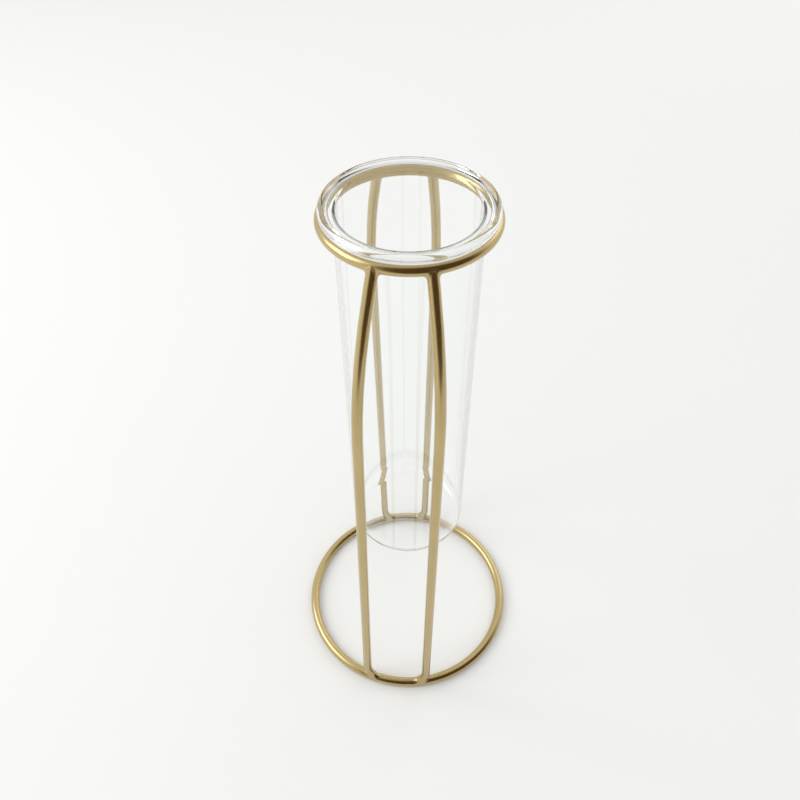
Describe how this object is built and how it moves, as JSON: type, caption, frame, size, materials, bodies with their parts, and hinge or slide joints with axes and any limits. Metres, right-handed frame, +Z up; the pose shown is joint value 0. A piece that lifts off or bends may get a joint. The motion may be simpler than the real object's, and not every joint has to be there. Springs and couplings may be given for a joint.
{
  "type": "test tube vase",
  "caption": "Bud vase: a clear glass test tube with a flared lip, hung by the lip in a brass wire stand with slender legs on a ring foot.",
  "frame": {"origin": "on the floor, under the common middle of the two rings and the tube", "axes": "+Z up along the tube, +Y towards the back pair of legs, +X to the right"},
  "size_m": [0.0874, 0.0875, 0.2059],
  "materials": {
    "brass": "satin brass plating over welded wire",
    "glass": "clear, fire-polished lip"
  },
  "bodies": {
    "stand": {"base_ring": "brass", "top_ring": "brass", "leg_front_left": "brass", "leg_front_right": "brass", "leg_back_left": "brass", "leg_back_right": "brass", "top_welds": "brass", "foot_welds": "brass"},
    "tube": {"glass_tube": "glass"}
  },
  "joints": [
    {"name": "tube_lift", "type": "slide", "parent": "stand", "child": "tube", "axis": [0, 0, 1], "range_m": [0, 0.145]}
  ]
}
